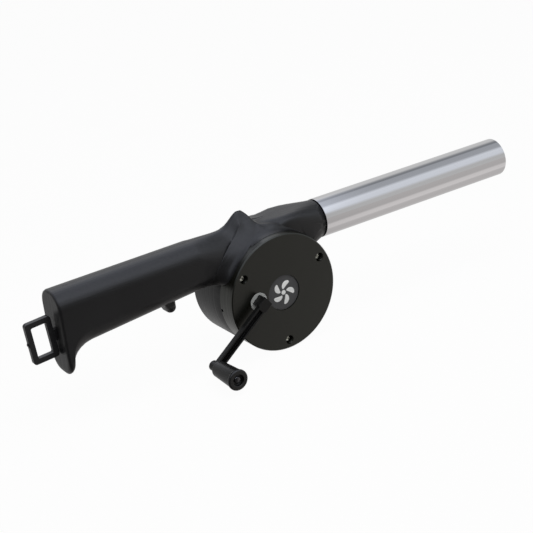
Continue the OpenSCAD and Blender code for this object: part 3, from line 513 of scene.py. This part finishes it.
def soften_fairing(bm):
    """Blends the finger guard's slopes into the drum, as the mould's polished fairing does."""
    low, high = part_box("gear_cover")
    drum = (high[0] - low[0]) / 2
    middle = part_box("near_shell")[1][1]

    def in_zone(vert):
        x, z, side = vert.co.x, vert.co.z, abs(vert.co.y - middle)
        front = FAIRING_FRONT if side > SNOUT_HALF else SNOUT_FOOT
        return math.hypot(x, z) > drum + HAIR and FAIRING_BACK < x < front and z > FAIRING_LOW

    for _ in range(FAIRING_CUTS):
        zone = {vert for vert in bm.verts if in_zone(vert)}
        bmesh.ops.triangulate(bm, faces=[face for face in bm.faces if zone.intersection(face.verts)])
        long = [edge for edge in bm.edges if edge.verts[0] in zone and edge.verts[1] in zone
                and edge.calc_length() > FAIRING_EDGE]
        if not long:
            break
        bmesh.ops.subdivide_edges(bm, edges=long, cuts=1)
    fill_peak(bm)
    zone = [vert for vert in bm.verts if in_zone(vert)]
    free = [vert for vert in zone if abs(vert.co.y - middle) > HAIR
            and math.hypot(vert.co.x, vert.co.z) > drum + FAIRING_FREE]
    for i in range(SMOOTH_ROUNDS):
        bmesh.ops.smooth_vert(bm, verts=[vert for vert in free if vert.co.x < (SMOOTH_FRONT - i) * MM],
                              factor=0.5, use_axis_x=True, use_axis_y=True, use_axis_z=True)
    for vert in zone:
        reach = math.hypot(vert.co.x, vert.co.z)
        rise = reach - drum - FAIRING_SKIN
        side = clamped((abs(vert.co.y - middle) - RIM_START) / RIM_WIDTH)
        if 0 < rise < FAIRING_RISE and side > 0.1:
            keep = 1 - side * side * (3 - 2 * side)
            turn = (drum + FAIRING_SKIN + rise * keep) / reach
            vert.co.x *= turn
            vert.co.z *= turn


def sharpen_snout(bm):
    """Pushes out the long corners on the snout's top, which are tight near the drum and fade at the pipe."""
    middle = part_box("near_shell")[1][1]
    low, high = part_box("blow_pipe")
    level, tube = (low[2] + high[2]) / 2, (high[2] - low[2]) / 2
    for vert in bm.verts:
        across, rise, x = vert.co.y - middle, vert.co.z - level, vert.co.x
        reach = math.hypot(across, rise)
        if not (SNOUT_START < x < SNOUT_END and rise > 0 and reach > tube - SNOUT_SKIN
                and abs(across) < SNOUT_REACH):
            continue
        near = 1 - abs(math.degrees(math.atan2(rise, abs(across))) - CORNER_ANGLE) / CORNER_SPREAD
        along = min(1.0, (x - CORNER_FROM) / CORNER_GROW, (SNOUT_END - x) / CORNER_FADE)
        if near > 0 and along > 0:
            push = 1 + CORNER_PUSH * near * along / reach
            vert.co.y = middle + across * push
            vert.co.z = level + rise * push


def part_line(bm):
    """Breaks the outer edges where the two shells meet, so that a fine groove runs round the body."""
    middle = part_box("near_shell")[1][1]
    seam = [edge for edge in bm.edges
            if edge.is_manifold and all(abs(vert.co.y - middle) < PART_SLACK for vert in edge.verts)
            and edge.calc_face_angle(0.0) > PART_ANGLE]
    bmesh.ops.bevel(bm, geom=seam, offset=PART_GROOVE, offset_type="OFFSET", segments=1, profile=0.5,
                    affect="EDGES", clamp_overlap=True, material=-1)


def shape_shell(bm):
    """Gives a shell the soft shapes that only the scene has."""
    soften_fairing(bm)
    sharpen_snout(bm)
    part_line(bm)


def dressed(node, name, finish, body, width, smooth=32.0, shaped=None):
    """A copy of a CAD node with rounded edges and smooth shading, which stands for the node."""
    bm = copy_of(node)
    bmesh.ops.dissolve_limit(bm, angle_limit=FLAT_ANGLE, verts=bm.verts, edges=bm.edges, delimit={"NORMAL"})
    if shaped:
        shaped(bm)
    made = to_object(bm, name, finish, body, smooth)
    if width > 0:
        bevel = made.modifiers.new("Edges", "BEVEL")
        bevel.width = width
        bevel.segments = 2
        bevel.limit_method = "ANGLE"
        bevel.angle_limit = EDGE_ANGLE
        bevel.use_clamp_overlap = True
        bevel.harden_normals = False
    weight = made.modifiers.new("Normals", "WEIGHTED_NORMAL")
    weight.keep_sharp = True
    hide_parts(node)
    return made


def paint(node, finish):
    """Gives a CAD node, which stays as it is, its finish."""
    mesh = NODES[node].data
    mesh.materials.clear()
    mesh.materials.append(finish)


def fan_sign(reach):
    """A plain fan sign of five egg-shaped blades round a hub, printed on the badge."""
    blades, lean, thick, sunk = 5, -0.55, 0.09 * MM, 0.02 * MM
    hub, root, wide = 0.19 * reach, 0.29 * reach, 0.52 * reach
    low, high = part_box("badge_disc")
    middle = Vector(((low[0] + high[0]) / 2, low[1] + sunk, (low[2] + high[2]) / 2))
    bm = bmesh.new()
    bmesh.ops.create_circle(bm, cap_ends=True, segments=40, radius=0.5)
    for vert in bm.verts:
        out = vert.co.y + 0.5
        vert.co.x *= wide * (0.55 + 0.62 * out)
        vert.co.y = root + (reach - root) * out
        vert.co.rotate(Matrix.Rotation(lean * out, 3, "Z"))
    bmesh.ops.spin(bm, geom=bm.verts[:] + bm.edges[:] + bm.faces[:], cent=(0, 0, 0), axis=(0, 0, 1),
                   angle=math.tau * (blades - 1) / blades, steps=blades - 1, use_duplicate=True)
    bmesh.ops.create_circle(bm, cap_ends=True, segments=32, radius=hub)
    raised = bmesh.ops.extrude_face_region(bm, geom=bm.faces[:])
    bmesh.ops.translate(bm, verts=[item for item in raised["geom"] if isinstance(item, bmesh.types.BMVert)],
                        vec=(0, 0, thick))
    bmesh.ops.recalc_face_normals(bm, faces=bm.faces)
    # The extrusion makes its faces in another order each run
    for i, face in enumerate(sorted(bm.faces, key=lambda face: tuple(face.calc_center_median()))):
        face.index = i
    bm.faces.sort()
    bmesh.ops.rotate(bm, verts=bm.verts, cent=(0, 0, 0), matrix=Matrix.Rotation(math.radians(90), 3, "X"))
    bmesh.ops.translate(bm, verts=bm.verts, vec=middle)
    finish = plastic("White print", (0.80, 0.80, 0.79), 0.55, grain=900.0, variation=0.2)
    return to_object(bm, "badge_fan_sign", finish, "body")


# ---------------------------------------------------------------- operators


GATE_PLACE, GATE_SIZE = (-0.0474, -0.0421, -0.0039), 1.8 * MM  # on the left of the cover's rim


class BLOWER_OT_stage(bpy.types.Operator):
    """Set the floor, lamps, world and camera"""

    bl_idname = "blower.stage"
    bl_label = "Stage"

    def execute(self, context):
        stage = context.scene.blower_stage
        scene = context.scene
        bm = bmesh.new()
        bmesh.ops.create_grid(bm, x_segments=1, y_segments=1, size=FLOOR_REACH)
        bmesh.ops.translate(bm, verts=bm.verts, vec=(0, 0, CAD_BOX[0][2] - FLOOR_GAP))
        mesh = bpy.data.meshes.new("floor")
        bm.to_mesh(mesh)
        bm.free()
        floor = bpy.data.objects.new("floor", mesh)
        scene.collection.objects.link(floor)
        mesh.materials.append(floor_finish())
        floor.visible_glossy = False

        world = bpy.data.worlds.new("Studio")
        scene.world = world
        world.use_nodes = True
        studio_world(world.node_tree, stage.ambient)
        area_lamp("overhead", (0.1, -0.35, 1.1), (0, 0, 0.03), (1.3, 0.9), stage.key_power)
        area_lamp("left", (-1.2, -0.7, 0.5), (0, 0, 0), (0.8, 0.8), stage.fill_power)

        data = bpy.data.cameras.new("camera")
        data.lens, data.sensor_width = stage.lens, 36.0
        data.clip_start, data.clip_end = 0.01, 50.0
        camera = bpy.data.objects.new("camera", data)
        scene.collection.objects.link(camera)
        camera.matrix_world = Matrix.Translation(CAMERA_PLACE) @ Matrix(CAMERA_AXES).transposed().to_4x4()
        scene.camera = camera
        scene.view_settings.view_transform = "Standard"
        return {"FINISHED"}


class BLOWER_OT_shells(bpy.types.Operator):
    """Dress the two body shells"""

    bl_idname = "blower.shells"
    bl_label = "Body shells"

    def execute(self, context):
        body = context.scene.blower_body
        finish = plastic("Satin black shell", body.shell_colour, body.shell_roughness, drag=body.drag_depth)
        for node in ("near_shell", "far_shell"):
            made = dressed(node, node + "_skin", finish, "body", 0.0, smooth=50.0, shaped=shape_shell)
        return {"FINISHED"}


class BLOWER_OT_cover(bpy.types.Operator):
    """Dress the gear cover and the screws"""

    bl_idname = "blower.cover"
    bl_label = "Gear cover"

    def execute(self, context):
        body = context.scene.blower_body
        finish = plastic("Black gear cover", body.cover_colour, 0.30, drag=body.drag_depth,
                         Specular_IOR_Level=0.74, Specular_Tint=(0.95, 0.97, 0.89, 1))
        gate_pit_and_painted_shade(finish, GATE_PLACE, GATE_SIZE)
        dressed("gear_cover", "gear_cover_skin", finish, "body", 0.0, smooth=26.0)
        zinc = metal("Zinc screws", (1.0, 0.99, 0.91), 0.24, stretch=EVEN, scale=700.0)
        paint("cover_screws", zinc)
        paint("shell_screws", zinc)
        return {"FINISHED"}


class BLOWER_OT_badge(bpy.types.Operator):
    """Dress the round badge"""

    bl_idname = "blower.badge"
    bl_label = "Badge"

    def execute(self, context):
        finish = plastic("Badge", (0.058, 0.058, 0.060), 0.5)
        skin = dressed("badge_disc", "badge_skin", finish, "body", 0.15 * MM)
        fan_sign(context.scene.blower_body.sign_size / 2)
        return {"FINISHED"}


class BLOWER_OT_pipe(bpy.types.Operator):
    """Dress the steel blow pipe"""

    bl_idname = "blower.pipe"
    bl_label = "Blow pipe"

    def execute(self, context):
        pipe = context.scene.blower_pipe
        finish = metal("Polished steel pipe", pipe.steel_colour, pipe.polish)
        skin = dressed("blow_pipe", "blow_pipe_skin", finish, "body", 0.12 * MM, smooth=40.0)
        return {"FINISHED"}


class BLOWER_OT_loop(bpy.types.Operator):
    """Dress the hang loop"""

    bl_idname = "blower.loop"
    bl_label = "Hang loop"

    def execute(self, context):
        finish = plastic("Black hang loop", (0.012, 0.012, 0.013), 0.36)
        dressed("hang_loop", "hang_loop_skin", finish, "body", 0.6 * MM)
        return {"FINISHED"}


class BLOWER_OT_crank(bpy.types.Operator):
    """Dress the crank arm, its hub and the knob"""

    bl_idname = "blower.crank"
    bl_label = "Crank"

    def execute(self, context):
        crank = context.scene.blower_crank
        arm = plastic("Black crank arm", crank.arm_colour, 0.34, Specular_IOR_Level=0.33)
        knob = plastic("Black knob", crank.arm_colour, 0.34, Specular_IOR_Level=0.60)
        hub = plastic("Grey hub", crank.hub_colour, 0.42)
        steel = metal("Blackened pin steel", (0.105, 0.105, 0.11), 0.24, stretch=EVEN, scale=700.0)
        dressed("crank_arm", "crank_arm_skin", arm, "crank", crank.arm_round)
        dressed("knob_grip", "knob_skin", knob, "knob", 0.3 * MM)
        paint("crank_gear", hub)
        paint("knob_pin", steel)
        return {"FINISHED"}


class BLOWER_OT_inner(bpy.types.Operator):
    """Give the inner parts their finishes"""

    bl_idname = "blower.inner"
    bl_label = "Inner parts"

    def execute(self, context):
        steel = metal("Axle steel", (0.60, 0.60, 0.62), 0.25, stretch=(1.0, 0.02, 1.0))
        bronze = metal("Sintered bronze", (0.55, 0.36, 0.16), 0.45, stretch=EVEN, scale=1500.0)
        brass = metal("Brass pinion", (0.78, 0.60, 0.28), 0.3, stretch=(1.0, 0.05, 1.0))
        white = plastic("White gear plastic", (0.62, 0.60, 0.54), 0.45)
        black = plastic("Black impeller", (0.020, 0.020, 0.021), 0.45)
        for finish, nodes in (
                (steel, ("crank_axle", "idler_axle", "fan_shaft", "retaining_ring", "thrust_washers")),
                (bronze, ("front_bush", "rear_bush")), (brass, ("fan_pinion",)),
                (white, ("idler_gear",)), (black, ("impeller",))):
            for node in nodes:
                paint(node, finish)
        return {"FINISHED"}


class BLOWER_PT_panel(bpy.types.Panel):
    """Lists the blower's operators and settings"""

    bl_label = "Blower"
    bl_idname = "BLOWER_PT_panel"
    bl_space_type = "VIEW_3D"
    bl_region_type = "UI"
    bl_category = "Blower"

    def draw(self, context):
        for name in SETTINGS:
            box = self.layout.box()
            group = getattr(context.scene, name)
            for prop in group.bl_rna.properties:
                if prop.identifier not in {"rna_type", "name"}:
                    box.prop(group, prop.identifier)
        for operator in STEPS:
            self.layout.operator(operator.bl_idname)


SETTINGS = {
    "blower_body": BodySettings,
    "blower_pipe": PipeSettings,
    "blower_crank": CrankSettings,
    "blower_stage": StageSettings,
}
STEPS = (BLOWER_OT_stage, BLOWER_OT_shells, BLOWER_OT_cover, BLOWER_OT_badge, BLOWER_OT_pipe, BLOWER_OT_loop,
         BLOWER_OT_crank, BLOWER_OT_inner)
CLASSES = (*SETTINGS.values(), *STEPS, BLOWER_PT_panel)


def register():
    for cls in CLASSES:
        bpy.utils.register_class(cls)
    for name, group in SETTINGS.items():
        setattr(bpy.types.Scene, name, bpy.props.PointerProperty(type=group))


def unregister():
    for name in SETTINGS:
        delattr(bpy.types.Scene, name)
    for cls in reversed(CLASSES):
        bpy.utils.unregister_class(cls)


def main():
    register()
    bpy.ops.blower.stage()
    bpy.ops.blower.shells()
    bpy.ops.blower.cover()
    bpy.ops.blower.badge()
    bpy.ops.blower.pipe()
    bpy.ops.blower.loop()
    bpy.ops.blower.crank()
    bpy.ops.blower.inner()


if __name__ == "__main__":
    main()
